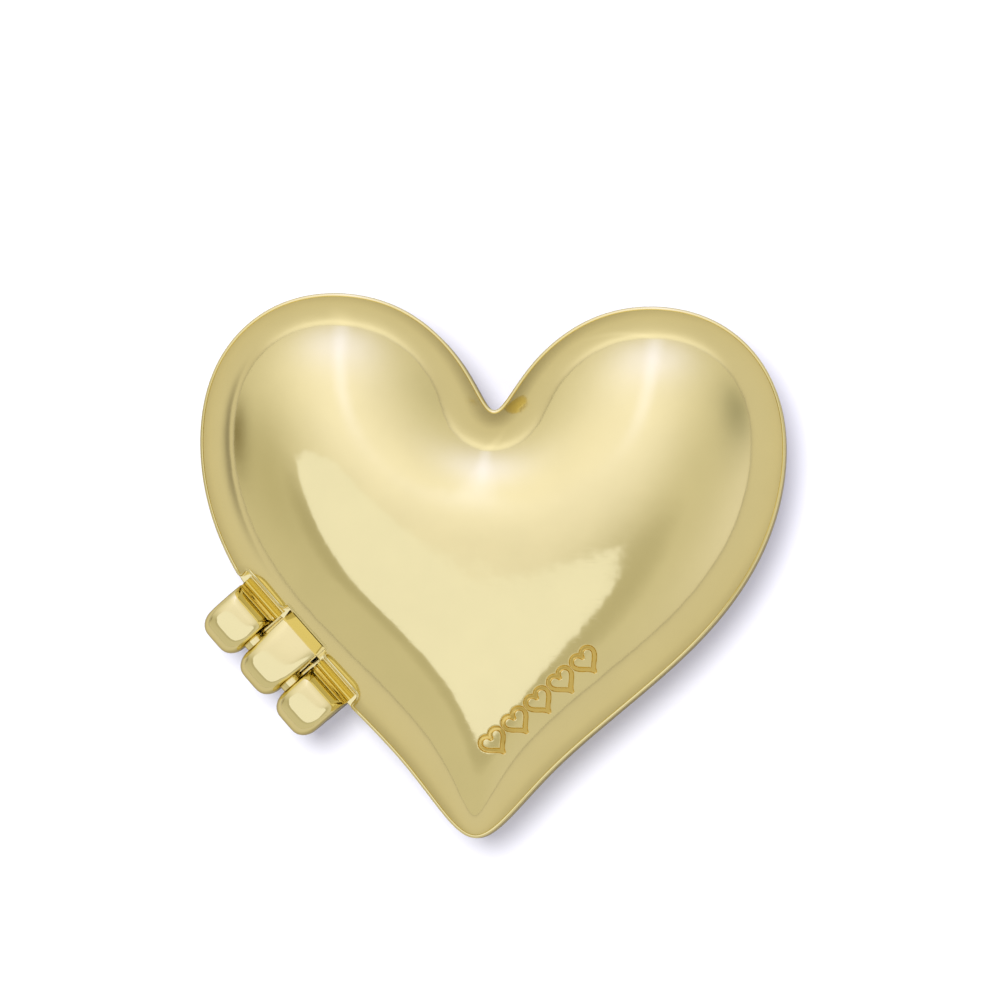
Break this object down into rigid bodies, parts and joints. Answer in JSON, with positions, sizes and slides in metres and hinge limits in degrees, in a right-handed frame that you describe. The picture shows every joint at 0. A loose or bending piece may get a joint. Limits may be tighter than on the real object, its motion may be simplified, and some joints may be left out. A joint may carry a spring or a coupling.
{
  "type": "heart locket charm",
  "caption": "Puffed heart locket case in polished pale gold that opens on a knuckle hinge in its flank, with framed pictures inside and a rubber snap stud on its back.",
  "frame": {"origin": "on the stud's axis at the top of its rubber neck, where the neck meets the collar against the back of the case", "axes": "+Z out of the domed cover along the stud's axis, +Y to the notch of the heart, +X to the right seen from the front"},
  "size_m": [0.03, 0.0276, 0.0165],
  "materials": {
    "pale_gold": "polished",
    "frame_gold": "satin",
    "clear_lens": "clear",
    "picture_card": "matte",
    "backing_card": "matte",
    "magnet_nickel": "satin",
    "post_steel": "turned",
    "stud_rubber": "satin"
  },
  "bodies": {
    "back": {"back_shell": "pale_gold", "back_knuckle_upper": "pale_gold", "back_knuckle_lower": "pale_gold", "hinge_pin": "pale_gold", "back_bezel": "frame_gold", "back_window": "clear_lens", "back_picture_card": "picture_card", "back_backing_plate": "backing_card", "back_magnets": "magnet_nickel", "stud_post": "post_steel", "stud_button": "stud_rubber"},
    "cover": {"cover_shell": "pale_gold", "cover_hinge_leaf": "pale_gold", "cover_bezel": "frame_gold", "cover_window": "clear_lens", "cover_picture_card": "picture_card", "cover_backing_plate": "backing_card", "cover_magnets": "magnet_nickel"}
  },
  "joints": [
    {"name": "cover_hinge", "type": "hinge", "parent": "back", "child": "cover", "pos_m": [-0.01077, -0.0061, 0.0043], "axis": [0.6942, -0.7198, 0], "range_deg": [0, 150]}
  ]
}
